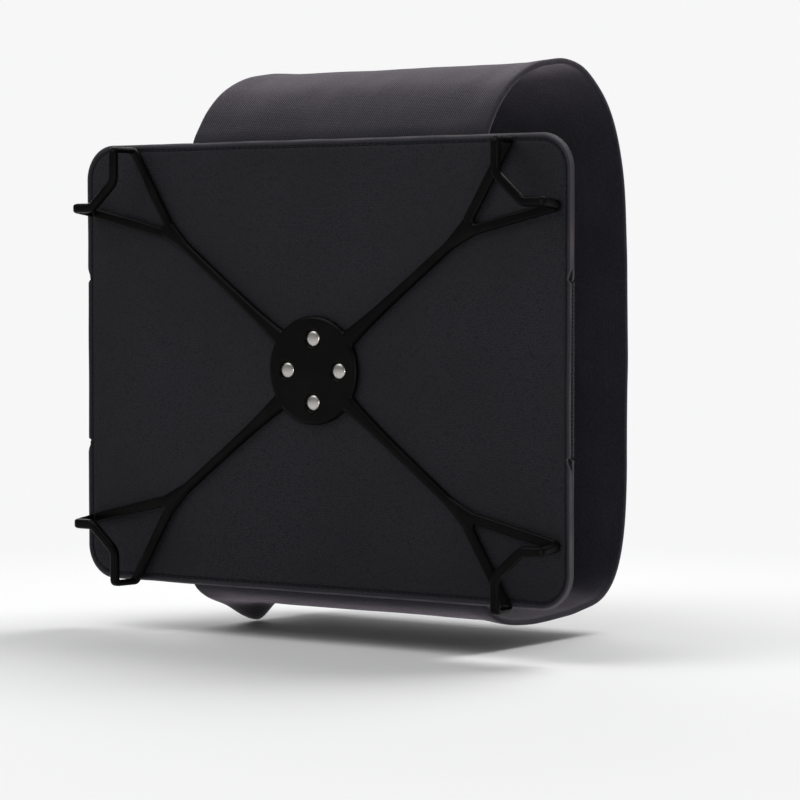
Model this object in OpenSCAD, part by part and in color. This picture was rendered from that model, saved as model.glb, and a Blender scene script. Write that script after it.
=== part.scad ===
/* [Panel] */
// Width of the sewn panel
panel_w = 254; // [244:1:280]
// Height of the sewn panel
panel_h = 191; // [180:1:220]
// Radius of the panel's corners
panel_r = 15; // [12:1:20]
// Thickness of one sheet of coated cloth
sheet_t = 0.8; // [0.6:0.1:1.2]
// Width over which each sheet is turned in and lies double
turn_w = 8; // [7:0.5:9]
// Rounding of the turned edge
edge_r = 0.9; // [0.4:0.1:1]
// Thickness of the stiffening board
board_t = 1.5; // [1.2:0.1:2.4]
// How far the panel's centre sits above the net's centre
panel_up = 1.5; // [0:0.5:4]

/* [Edge seam] */
// Distance of the seam from the panel's edge
seam_in = 2.8; // [2.6:0.1:4]
// Diameter of the sewing thread
thread_d = 0.5; // [0.3:0.1:0.6]

/* [Net] */
// Width of the space that the net closes round
pocket_w = 241; // [225:1:262]
// Height of the space that the net closes round
pocket_h = 186; // [165:1:200]
// Depth of the space that the net closes round
pocket_t = 9.4; // [6:0.2:14]
// Width of the net's oval strands
strand_w = 4.2; // [3:0.2:5]
// Thickness of the strands and of the hub
strand_t = 2.6; // [2.4:0.1:3.4]
// Sideways distance from the pocket's corner to the upright leg of a corner ring
upright_out = 20.7; // [17:0.1:30]
// Upright distance from the pocket's corner to the level leg of a corner ring
level_out = 23.7; // [18:0.1:30]
// How far the upright leg runs in over the front
upright_in = 12.6; // [8:0.1:16]
// How far the level leg runs in over the front
level_in = 8; // [6:0.1:14]
// How far each leg leans towards the middle as it passes round the edge
leg_lean = 1.5; // [0:0.5:8]
// Sideways distance from the pocket's corner to the fork of an arm
fork_x = 45; // [40:1:60]
// Upright distance from the pocket's corner to the fork of an arm
fork_z = 36; // [34:1:48]
// Width of an arm where it grows out of the hub
root_w = 9; // [6:0.5:12]
// Diameter of the hub
hub_d = 46; // [40:1:56]

/* [Rivets] */
// Diameter of a rivet's shank
rivet_d = 3.2; // [2.4:0.1:4]
// Diameter of a rivet's head
rivet_head_d = 7; // [5.5:0.5:8]
// Thickness of a rivet's head
rivet_head_t = 1; // [0.6:0.1:1.2]
// How far a rivet's head lies below the hub's face
rivet_sink = 0.4; // [0.2:0.1:0.6]
// Diameter of the flange that closes a rivet
rivet_foot_d = 6; // [5:0.5:7]
// Thickness of the flange that closes a rivet
rivet_foot_t = 0.5; // [0.3:0.1:0.6]
// Diameter of the circle that the rivets stand on
rivet_circle = 27; // [22:1:30]

/* [Hand strap] */
// Width of the elastic strap behind the panel
strap_w = 70; // [60:1:90]
// Height of the strap's middle above the panel's middle
strap_up = 1; // [-3:0.5:3]
// Thickness of the elastic strap
strap_t = 1.1; // [0.8:0.1:1.4]
// How far the strap's fold lies inside the panel's edge
strap_set = 0.7; // [0.3:0.1:1]
// Length of each strap end that is held in the side seam
strap_in = 7.5; // [5:0.5:8]
// Length of the hollow left in the side seam above and below the strap
seam_hollow = 6; // [4:0.5:10]
// Depth of that hollow beside the strap
seam_hollow_in = 1.3; // [0.5:0.1:1.5]

/* [Band] */
// Width of the stretch band
band_w = 155; // [130:1:180]
// Thickness of the stretch band
band_t = 2.6; // [1.6:0.2:3.4]
// Depth of the loop, from its front face to its back face
loop_d = 121; // [110:1:150]
// Height of the loop's crown above the net's centre
crown_h = 130.5; // [125:0.5:150]
// Depth of the loop's base below the net's centre
base_h = 105; // [103:1:125]
// How far the gathered corner of the band hangs below its base
gather_h = 9.5; // [0:0.5:12]
// Distance of the gather from the band's left edge
gather_in = 1; // [0:1:15]

/* [Closure] */
// Distance from the net's centre down to the band's inner end
lap_drop = 44; // [42:1:46]
// Length over which the band's two ends lie on each other
lap_l = 47; // [46:1:50]
// How far the lapped ends lean away from the panel
lap_lean = 3.2; // [3:0.1:6]
// Length of each piece of hook or loop tape, along the band
tape_l = 42; // [30:1:46]
// Width of each piece of tape, across the band
tape_w = 140; // [110:1:150]
// Thickness of each piece of tape
tape_t = 1; // [0.8:0.1:1.4]

/* [Fits] */
// Clearance of the thread in its furrow
thread_gap = 0.1; // [0.05:0.05:0.2]
// Play of the stiffening board between the sheets
board_play = 0.1; // [0.1:0.05:0.2]
// Clear distance from the stiffening board's edge to the turned edges
board_clear = 0.5; // [0.3:0.1:1]
// Clearance round a rivet in its holes
rivet_gap = 0.1; // [0.05:0.05:0.2]
// Clearance between the net's strands and the space they close round
net_gap = 0.2; // [0.1:0.1:0.5]
// Clearance between one soft layer and the next
soft_gap = 0.3; // [0.2:0.05:0.4]
// Clearance between the layers of the closure
tape_gap = 0.1; // [0.05:0.05:0.2]

/* [Hidden] */
$fn = 48;

// The origin is the middle of the hub's front face. +X is to the right, +Z is up, and the
// part faces -Y, so a layer further back has a larger Y.
panel_y = strand_t;
rim_t = sheet_t + (board_t + board_play) / 2;
seam_y = panel_y + rim_t;
back_y = panel_y + 2 * rim_t;
board_y = panel_y + sheet_t + board_play / 2;
edge_x = panel_w / 2;

// Sides of a strand, steps in one of its bends, and steps along an arm
STRAND_SIDES = 10;
BEND_STEPS = 4;
ARM_STEPS = 10;
// Steps across the band and in one stretch of its loop. The steps across grow from the
// gathered edge by this power.
BAND_STEPS = 16;
BAND_CROWD = 1.5;
LOOP_STEPS = 3;

// Paths and sections

function unit(v) = v / norm(v);

// Points along a bend of radius r that rounds the corner p between a and b
function bend(a, p, b, r) =
    let (u = unit(a - p), v = unit(b - p))
    let (turn = 180 - acos(u * v))
    let (centre = p + unit(u + v) * r / cos(turn / 2))
    let (first = (p + u * r * tan(turn / 2) - centre) / r)
    let (last = (p + v * r * tan(turn / 2) - centre) / r)
    [
        for (i = [0:BEND_STEPS])
            let (f = i / BEND_STEPS)
            centre + r * (sin((1 - f) * turn) * first + sin(f * turn) * last) / sin(turn)
    ];

// A path through the points p, with a bend of radius r[i] at each inner point
function bent_path(p, r) = [
    p[0],
    for (i = [1:len(p) - 2]) each bend(p[i - 1], p[i], p[i + 1], r[i]),
    p[len(p) - 1]
];

// The direction of a path at its point i
function heading(path, i) = unit(path[min(i + 1, len(path) - 1)] - path[max(i - 1, 0)]);

// The vector u turned square to the direction t
function squared(u, t) = unit(u - (u * t) * t);

// A smooth curve through the points p, by cubic steps between neighbours
function curve_at(a, b, c, d, f) =
    b + f / 2 * ((c - a) + f * ((2 * a - 5 * b + 4 * c - d) + f * (3 * b - a - 3 * c + d)));
function curve(p) = [
    for (i = [0:len(p) - 2]) for (k = [0:LOOP_STEPS - 1])
        curve_at(p[max(i - 1, 0)], p[i], p[i + 1], p[min(i + 2, len(p) - 1)], k / LOOP_STEPS),
    p[len(p) - 1]
];

// A closed solid through a list of sections that all have the same number of points
module lofted(sections) {
    n = len(sections[0]);
    m = len(sections);
    sides = [
        for (i = [0:m - 2]) for (k = [0:n - 1])
            let (a = i * n + k, b = i * n + (k + 1) % n)
            each [[a, a + n, b + n], [a, b + n, b]]
    ];
    first_end = [for (k = [0:n - 1]) k];
    last_end = [for (k = [n - 1:-1:0]) (m - 1) * n + k];
    polyhedron(points = [for (s = sections) each s], faces = [first_end, each sides, last_end]);
}

// An oval section of half width a and half thickness b round the point p
function oval(p, side, up, a, b) = [
    for (k = [0:STRAND_SIDES - 1])
        let (turn = 360 * (k + 0.5) / STRAND_SIDES)
        p + a * cos(turn) * side + b * sin(turn) * up
];

// Sewn panel

// Draws its children in the panel's plane: X to the right, Y up, Z towards the front,
// with Z = 0 at the panel's front face
module in_panel() {
    translate([0, panel_y, panel_up]) rotate([90, 0, 0]) children();
}

// A flat plate with rounded corners, whose front face is at the height top
module round_plate(w, h, r, top, t) {
    translate([0, 0, top - t]) {
        translate([r - w / 2, -h / 2, 0]) cube([w - 2 * r, h, t]);
        translate([-w / 2, r - h / 2, 0]) cube([w, h - 2 * r, t]);
        for (x = [-1, 1], y = [-1, 1]) {
            translate([x * (w / 2 - r), y * (h / 2 - r), 0]) cylinder(r = r, h = t);
        }
    }
}

// Carries a flat profile once round the panel's edge. The profile's X is the distance in
// from the edge, and its Y is the height.
module round_edge() {
    straight_w = panel_w - 2 * panel_r;
    straight_h = panel_h - 2 * panel_r;
    for (side = [0, 1]) {
        rotate([0, 0, 180 * side]) {
            translate([straight_w / 2, straight_h / 2, 0])
                rotate_extrude(angle = 90) translate([panel_r, 0]) mirror([1, 0]) children();
            translate([-straight_w / 2, straight_h / 2, 0])
                rotate([0, 0, 90]) rotate_extrude(angle = 90)
                    translate([panel_r, 0]) mirror([1, 0]) children();
            translate([panel_w / 2, straight_h / 2, 0]) rotate([90, 0, 0])
                linear_extrude(height = straight_h) mirror([1, 0]) children();
            translate([-straight_w / 2, panel_h / 2, 0]) rotate([90, 0, 90])
                linear_extrude(height = straight_w) mirror([1, 0]) children();
        }
    }
}

// The turned edge of one sheet, with its rounded rim and the furrow of the seam
module edge_profile() {
    furrow = thread_d / 2 + thread_gap;
    furrow_foot = -2 * furrow;
    arc = [for (a = [0:15:90]) [edge_r * (1 - cos(a)), -edge_r * (1 - sin(a))]];
    polygon([
        [0, -rim_t], each arc,
        [seam_in - furrow, 0], [seam_in - furrow, furrow_foot],
        [seam_in + furrow, furrow_foot], [seam_in + furrow, 0],
        [turn_w + 2, 0], [turn_w + 2, -sheet_t], [turn_w, -sheet_t], [turn_w, -rim_t]
    ]);
}

// One sheet of the panel with its turned edge, front face at Z = 0
module sheet() {
    round_edge() edge_profile();
    round_plate(panel_w - 2 * turn_w, panel_h - 2 * turn_w, panel_r - turn_w, 0, sheet_t);
}

// The space in the side seams that the strap's ends lie in, about the seam's plane
module strap_pockets(z) {
    for (x = [-1, 1]) {
        translate([x * (edge_x - strap_in / 2), strap_up, z])
            cube([strap_in + 2 * tape_gap, strap_w + 2 * tape_gap, strap_t + tape_gap], center = true);
    }
}

module rivet_places() {
    for (a = [0, 90, 180, 270]) {
        rotate([0, a, 0]) translate([rivet_circle / 2, 0, 0]) rotate([-90, 0, 0]) children();
    }
}

module front_panel() {
    color([0.12, 0.12, 0.13]) difference() {
        in_panel() difference() {
            sheet();
            strap_pockets(-rim_t);
            // Hollows beside the strap, where the thick seam draws the edge in
            for (x = [-1, 1], y = [-1, 1]) {
                translate([0, strap_up, 0]) scale([x, y, 1]) translate([edge_x, strap_w / 2, -rim_t - 1])
                    linear_extrude(height = rim_t + 2)
                        polygon([
                            [1, -tape_gap], [-seam_hollow_in, -tape_gap], [-seam_hollow_in, 1],
                            [0, seam_hollow], [1, seam_hollow]
                        ]);
            }
        }
        rivet_places() cylinder(d = rivet_d + 2 * rivet_gap, h = back_y);
    }
}

module back_panel() {
    // Depth of the cut that lets the strap fold round the edge without standing out
    fold_in = strap_set + strap_t / 2 + fold_bend();
    color([0.12, 0.12, 0.13]) in_panel() difference() {
        translate([0, 0, -2 * rim_t]) mirror([0, 0, 1]) sheet();
        strap_pockets(-rim_t);
        for (x = [-1, 1]) {
            translate([x * edge_x, strap_up, -rim_t])
                cube([2 * fold_in, strap_w + 2 * soft_gap, 3 * rim_t], center = true);
        }
    }
}

module stiffener_board() {
    inset = turn_w + board_clear;
    foot_r = rivet_foot_d / 2 + rivet_gap;
    color([0.25, 0.25, 0.26]) difference() {
        in_panel() round_plate(
            panel_w - 2 * inset, panel_h - 2 * inset, panel_r - turn_w,
            panel_y - board_y, board_t
        );
        rivet_places() cylinder(d = rivet_d + 2 * rivet_gap, h = back_y);
        rivet_places() translate([0, 0, foot_y()]) cylinder(r = foot_r, h = back_y);
    }
}

module edge_thread() {
    color([0.2, 0.2, 0.22]) in_panel() for (face = [0, 1]) {
        translate([0, 0, -rim_t]) mirror([0, 0, face]) translate([0, 0, rim_t])
            round_edge()
                translate([seam_in, -thread_gap - thread_d / 2]) circle(d = thread_d);
    }
}

// Silicone net

pocket_x = pocket_w / 2;
pocket_z = pocket_h / 2;
// Distance from the pocket's faces to the middle of a strand that passes over them
over = net_gap + strand_t / 2;
rest_y = strand_t / 2;
over_y = -(pocket_t + over);
over_x = pocket_x + over;
over_z = pocket_z + over;

// The fork of the arm in the corner given by the signs x and z
function fork(x, z) = [x * (pocket_x - fork_x), rest_y, z * (pocket_z - fork_z)];
// Where a ring passes behind the top or bottom edge, and behind the side edge
function ring_top(x, z) = [x * (pocket_x - upright_out - leg_lean), rest_y, z * over_z];
function ring_side(x, z) = [x * over_x, rest_y, z * (pocket_z - level_out - leg_lean)];
// A point a little way from the fork towards p
function web(x, z, p) = fork(x, z) + unit(p - fork(x, z)) * 2 * strand_w;
// The direction from the nearest point of the pocket to p
function off_pocket(p) =
    let (near = [
        max(-pocket_x, min(pocket_x, p.x)), max(-pocket_t, min(0, p.y)),
        max(-pocket_z, min(pocket_z, p.z))
    ])
    unit(p - near);

// An oval strand along a path round the pocket, lying flat against it
module strand(path) {
    lofted([
        for (i = [0:len(path) - 1])
            let (t = heading(path, i), up = squared(off_pocket(path[i]), t))
            oval(path[i], cross(up, t), up, strand_w / 2, strand_t / 2)
    ]);
}

// The corner ring: over the top or bottom edge, down its leg, across the corner to the level
// leg, and over the side edge back to the fork
module corner_ring(x, z) {
    upright = x * (pocket_x - upright_out);
    level = z * (pocket_z - level_out);
    over_bend = over;
    knee_bend = 1.3 * strand_w;
    strand(bent_path(
        [
            web(x, z, ring_top(x, z)),
            ring_top(x, z),
            [upright, over_y, z * over_z],
            [upright, over_y, z * (pocket_z - upright_in)],
            [x * (pocket_x - level_in), over_y, level],
            [x * over_x, over_y, level],
            ring_side(x, z),
            web(x, z, ring_side(x, z))
        ],
        [0, over_bend, over_bend, knee_bend, knee_bend, over_bend, over_bend, 0]
    ));
}

// The flat arm from the hub to the fork, wide at its root
module arm(x, z) {
    out = unit(fork(x, z));
    far = norm(fork(x, z));
    side = cross([0, 1, 0], unit([out.x, 0, out.z]));
    start = hub_d / 2 - root_w / 2;
    lofted([
        for (i = [0:ARM_STEPS])
            let (f = i / ARM_STEPS)
            let (s = start + (far - start) * f * f)
            let (flare = (root_w - strand_w) / 2 * pow(1 - f, 3))
            oval(
                [out.x * s, rest_y, out.z * s],
                side, [0, 1, 0], strand_w / 2 + flare, strand_t / 2
            )
    ]);
}

// The moulded web where two legs and an arm meet
module fork_web(x, z) {
    hull() {
        for (p = [ring_top(x, z), ring_side(x, z), [0, rest_y, 0]]) {
            translate(web(x, z, p)) scale([1, strand_t / strand_w, 1])
                sphere(d = strand_w, $fn = 20);
        }
    }
}

module hub() {
    lip = strand_t / 3;
    rotate([-90, 0, 0]) rotate_extrude() polygon([
        [0, 0], [hub_d / 2 - lip, 0], [hub_d / 2, lip], [hub_d / 2, strand_t], [0, strand_t]
    ]);
}

module silicone_net() {
    seat = rivet_sink + rivet_head_t;
    color([0.05, 0.05, 0.05]) difference() {
        union() {
            hub();
            for (x = [-1, 1], z = [-1, 1]) {
                arm(x, z);
                fork_web(x, z);
                corner_ring(x, z);
            }
        }
        rivet_places() translate([0, 0, -1]) cylinder(d = rivet_d + 2 * rivet_gap, h = strand_t + 2);
        rivet_places() translate([0, 0, -1]) cylinder(d = rivet_head_d + 2 * rivet_gap, h = seat + 1);
    }
}

// Where the flange that closes a rivet lies in the stiffening board
function foot_y() = board_y + board_t - rivet_foot_t;

module hub_rivets() {
    head_r = rivet_head_d / 2;
    head_edge = rivet_head_t * 0.4;
    seat = rivet_sink + rivet_head_t;
    color([0.55, 0.55, 0.57]) rivet_places() rotate_extrude() polygon([
        [0, rivet_sink], [head_r - head_edge, rivet_sink], [head_r, rivet_sink + head_edge],
        [head_r, seat], [rivet_d / 2, seat],
        [rivet_d / 2, foot_y()], [rivet_foot_d / 2, foot_y()],
        [rivet_foot_d / 2, foot_y() + rivet_foot_t], [0, foot_y() + rivet_foot_t]
    ]);
}

// Stretch band and its closure

band_y = back_y + soft_gap + band_t / 2;
lap_top = -lap_drop;
lap_foot = lap_top - lap_l;
// Heights between which the hand strap lies behind the band
strap_foot = panel_up + strap_up - strap_w / 2;
strap_head = panel_up + strap_up + strap_w / 2;
lap_start = strap_foot - 2;
lap_tilt = atan(lap_lean / (lap_start - lap_foot));
lap_step = band_t + 2 * tape_t + 3 * tape_gap;
loop_back = band_y + loop_d - band_t;
loop_top = crown_h - band_t / 2;
loop_base = band_t / 2 - base_h;

// The middle of the band's outer ply at the height z, over the straight lap
function outer_ply(z) = [band_y + (lap_start - z) * tan(lap_tilt), z];
// The same for the inner ply, which lies behind it
function inner_ply(z) = outer_ply(z) + [lap_step / cos(lap_tilt), 0];

// The middle of the band as [y, z], from the inner end down, under, up the back and over
loop_path = [
    inner_ply(lap_top),
    each curve([
        inner_ply(lap_foot),
        [band_y + 9.5, loop_base + 8.3],
        [band_y + 13.5, loop_base + 5.5],
        [band_y + 20, loop_base + 2.7],
        [band_y + 29, loop_base + 0.8],
        [band_y + 42, loop_base],
        [band_y + 54, loop_base],
        [band_y + 66, loop_base + 0.3],
        [loop_back - 38, loop_base + 1.2],
        [loop_back - 17, loop_base + 6.5],
        [loop_back - 5, loop_base + 23],
        [loop_back - 1, loop_base + 57],
        [loop_back, (loop_base + loop_top) / 2 - 10],
        [loop_back - 1, loop_top - 78],
        [loop_back - 5, loop_top - 42],
        [loop_back - 15, loop_top - 18],
        [loop_back - 32, loop_top - 4],
        [band_y + 71, loop_top],
        [band_y + 59, loop_top - 0.8],
        [band_y + 46, loop_top - 3.2],
        [band_y + 31, loop_top - 9.6],
        [band_y + 20.5, loop_top - 18],
        [band_y + 13.5, loop_top - 26],
        [band_y + 9.5, loop_top - 32.3],
        [band_y + 4.5, loop_top - 52],
        [band_y + 0.5, strap_head + 4]
    ]),
    [band_y, strap_head - 4],
    outer_ply(lap_start),
    outer_ply(lap_foot)
];

// A smooth hump of height 1 at 0 that dies out over the width w
function hump(d, w) = exp(-pow(d / w, 2));
// How far the band hangs below its even loop at the place x, y of its base. The lobe falls
// slowly behind the panel and is drawn up steeply behind.
function slack(x, y) =
    let (behind = y - band_y - 52)
    gather_h * hump(x + band_w / 2 - gather_in, 7) * hump(behind, behind < 0 ? 17 : 8);

// One section of the band, across its outer face and back across its inner face
function band_section(i) =
    let (p = loop_path[i], t = heading(loop_path, i), out = [t.y, -t.x])
    let (across = [for (k = [0:BAND_STEPS]) band_w * (pow(k / BAND_STEPS, BAND_CROWD) - 0.5)])
    let (outer = p + out * band_t / 2, inner = p - out * band_t / 2)
    let (hang = p.y < 0 ? [for (x = across) slack(x, p.x)] : across * 0)
    [
        for (k = [0:BAND_STEPS]) [across[k], outer.x, outer.y - hang[k]],
        for (k = [BAND_STEPS:-1:0]) [across[k], inner.x, inner.y - hang[k]]
    ];

module stretch_band() {
    color([0.23, 0.22, 0.25]) lofted([for (i = [0:len(loop_path) - 1]) band_section(i)]);
}

// A piece of tape on the lap, whose middle lies off by the distance behind the outer ply
module lap_tape(off) {
    middle = outer_ply((lap_top + lap_foot) / 2 - 1);
    translate([0, middle.x, middle.y]) rotate([lap_tilt, 0, 0]) translate([0, off, 0])
        cube([tape_w, tape_t, tape_l], center = true);
}

module hook_tape() {
    color([0.1, 0.1, 0.1]) lap_tape(band_t / 2 + tape_gap + tape_t / 2);
}

module loop_tape() {
    color([0.15, 0.15, 0.15]) lap_tape(band_t / 2 + 2 * tape_gap + 1.5 * tape_t);
}

// Hand strap

// Half the distance between the strap's two layers at the fold, and the radius of its bends
function fold_r() = (back_y + soft_gap + strap_t / 2 - seam_y) / 2;
function fold_bend() = 0.7 * fold_r();

module hand_strap() {
    run_y = seam_y + 2 * fold_r();
    fold_x = edge_x - strap_set - strap_t / 2;
    behind_band = band_y + band_t / 2 + soft_gap + strap_t / 2;
    half = bent_path(
        [
            [edge_x - strap_in, seam_y],
            [fold_x, seam_y],
            [fold_x, run_y],
            [edge_x - strap_in, run_y],
            [band_w / 2 + 3, behind_band],
            [0, behind_band]
        ],
        [0, fold_bend(), fold_bend(), 12, 12, 0]
    );
    path = [
        for (p = half) p,
        for (i = [len(half) - 2:-1:0]) [-half[i].x, half[i].y]
    ];
    off = [
        for (i = [0:len(path) - 1])
            let (t = heading(path, i))
            [t.y, -t.x] * strap_t / 2
    ];
    color([0.1, 0.1, 0.11]) translate([0, 0, panel_up + strap_up])
        linear_extrude(height = strap_w, center = true)
        polygon([
            for (i = [0:len(path) - 1]) path[i] + off[i],
            for (i = [len(path) - 1:-1:0]) path[i] - off[i]
        ]);
}

front_panel();
stiffener_board();
back_panel();
edge_thread();
silicone_net();
hub_rivets();
hand_strap();
stretch_band();
hook_tape();
loop_tape();
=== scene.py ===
import random
from math import acos, atan, atan2, cos, exp, pi, radians, sin, tan

import bmesh
import bpy
from mathutils import Matrix, Vector, noise


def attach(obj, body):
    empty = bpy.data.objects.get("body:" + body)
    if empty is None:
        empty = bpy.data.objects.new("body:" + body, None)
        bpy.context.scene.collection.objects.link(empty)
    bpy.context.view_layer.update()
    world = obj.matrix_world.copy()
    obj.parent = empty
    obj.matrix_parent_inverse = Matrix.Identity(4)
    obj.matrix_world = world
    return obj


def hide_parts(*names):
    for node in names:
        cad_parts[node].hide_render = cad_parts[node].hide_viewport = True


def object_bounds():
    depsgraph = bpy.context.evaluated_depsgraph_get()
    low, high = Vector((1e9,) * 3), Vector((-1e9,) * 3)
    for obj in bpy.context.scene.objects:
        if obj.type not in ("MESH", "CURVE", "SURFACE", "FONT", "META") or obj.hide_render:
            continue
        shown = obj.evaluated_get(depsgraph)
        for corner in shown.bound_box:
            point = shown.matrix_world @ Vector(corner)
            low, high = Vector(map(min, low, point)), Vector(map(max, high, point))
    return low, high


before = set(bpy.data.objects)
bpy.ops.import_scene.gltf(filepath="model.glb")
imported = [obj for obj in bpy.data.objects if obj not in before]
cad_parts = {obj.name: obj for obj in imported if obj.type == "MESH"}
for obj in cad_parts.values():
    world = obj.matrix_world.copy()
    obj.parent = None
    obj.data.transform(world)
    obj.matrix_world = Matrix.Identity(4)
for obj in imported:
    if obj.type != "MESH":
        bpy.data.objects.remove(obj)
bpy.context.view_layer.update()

# Front and back sheets of the panel
#
# Two sheets of thin cloth with a grained polyurethane coating. Each has its edge turned in
# and is sewn to the other 2.8 mm from the rim, round a flat board. All sizes are in
# millimetres, and each finished mesh is scaled to metres.

PANEL_W, PANEL_H, PANEL_R = 254.0, 191.0, 15.0
PANEL_UP = 1.5
PANEL_Y = 2.6
RIM_T = 1.6
BACK_Y = PANEL_Y + 2 * RIM_T
SEAM_IN = 2.8
STRAP_W, STRAP_UP = 70.0, 1.0
SIDE_A = PANEL_W - 2 * PANEL_R
SIDE_B = PANEL_H - 2 * PANEL_R
QUARTER = PANEL_R * pi / 2
ROUND = 2 * SIDE_A + 2 * SIDE_B + 4 * QUARTER
STITCHES = round(ROUND / 3.0)
PITCH = ROUND / STITCHES
CORNER_STEPS, EDGE_STEP = 112, 0.75
# The sheet's section, from the inner edge of its turning, round the rim, to its face: the
# distance in from the rim, and the depth behind the face
SHEET_SECTION = [
    (12.0, 0.8), (8.3, 0.8), (8.0, 0.9), (7.9, 1.45), (7.7, 1.58), (4.0, 1.58), (1.1, 1.58),
    (0.62, 1.54), (0.3, 1.42), (0.1, 1.22), (0.0, 1.0), (0.06, 0.78), (0.24, 0.58),
    (0.5, 0.39), (0.82, 0.22), (1.18, 0.09), (1.5, 0.02), (1.85, 0.04), (2.2, 0.18),
    (2.6, 0.5), (3.0, 0.5), (3.25, 0.3), (3.65, 0.1), (4.1, 0.01), (4.8, -0.02),
    (5.8, -0.03), (7.0, -0.02), (8.2, 0.02), (9.4, 0.03), (12.0, 0.0),
]


def smooth_step(low, high, value):
    """0 below low, 1 above high, and smooth between them."""
    f = max(0.0, min(1.0, (value - low) / (high - low)))
    return f * f * (3 - 2 * f)


def edge_distance(x, z):
    """Distance round the panel's edge to its point nearest to x, z."""
    a, b, q, r = SIDE_A, SIDE_B, QUARTER, PANEL_R
    turn = atan2(z - max(-b / 2, min(b / 2, z)), x - max(-a / 2, min(a / 2, x)))
    if abs(x) > a / 2 and abs(z) > b / 2:
        if x > 0:
            return a + r * (pi / 2 - turn) if z > 0 else a + q + b - r * turn
        if z > 0:
            return 2 * (a + b) + 3 * q + r * (pi - turn)
        return 2 * a + b + 2 * q - r * (turn + pi / 2)
    if PANEL_W / 2 - abs(x) < PANEL_H / 2 - abs(z):
        return a + q + b / 2 - z if x > 0 else 2 * a + b + 3 * q + z + b / 2
    return x + a / 2 if z > 0 else a + 2 * q + b + a / 2 - x


def edge_place(s, inset):
    """Place and heading at the distance s round the panel's edge, so far in from it."""
    a, b, r = SIDE_A / 2, SIDE_B / 2, PANEL_R
    for length, start, way in (
        (SIDE_A, Vector((-a, b + r)), Vector((1, 0))),
        (SIDE_B, Vector((a + r, b)), Vector((0, -1))),
        (SIDE_A, Vector((a, -b - r)), Vector((-1, 0))),
        (SIDE_B, Vector((-a - r, -b)), Vector((0, 1))),
    ):
        out = Vector((-way.y, way.x))
        if s <= length:
            return start + way * s - out * inset, way
        s -= length
        if s <= QUARTER:
            turn = s / r
            arm = out * cos(turn) + way * sin(turn)
            middle = start + way * length - out * r
            return middle + arm * (r - inset), way * cos(turn) - out * sin(turn)
        s -= QUARTER
    return edge_place(0, inset)


def outward(x, z):
    """Direction straight out of the panel at x, z."""
    cx, cz = max(-SIDE_A / 2, min(SIDE_A / 2, x)), max(-SIDE_B / 2, min(SIDE_B / 2, z))
    if abs(x) > SIDE_A / 2 and abs(z) > SIDE_B / 2:
        return Vector((x - cx, z - cz)).normalized()
    if PANEL_W / 2 - abs(x) < PANEL_H / 2 - abs(z):
        return Vector((1 if x > 0 else -1, 0))
    return Vector((0, 1 if z > 0 else -1))


def finished(bm, name, finish, slot):
    """Turns a mesh in millimetres into a piece of the scene that rides on the mount."""
    bmesh.ops.scale(bm, vec=Vector((0.001, 0.001, 0.001)), verts=bm.verts)
    mesh = bpy.data.meshes.new(name)
    bm.to_mesh(mesh)
    bm.free()
    piece = bpy.data.objects.new(name, mesh)
    bpy.context.scene.collection.objects.link(piece)
    mesh.shade_smooth()
    mesh.materials.append(finish.material)
    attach(piece, "root")
    return piece


def settled(piece):
    """Applies a piece's modifiers to its mesh."""
    graph = bpy.context.evaluated_depsgraph_get()
    mesh = bpy.data.meshes.new_from_object(piece.evaluated_get(graph), depsgraph=graph)
    piece.modifiers.clear()
    piece.data = mesh
    mesh.name = piece.name
    return piece


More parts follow.
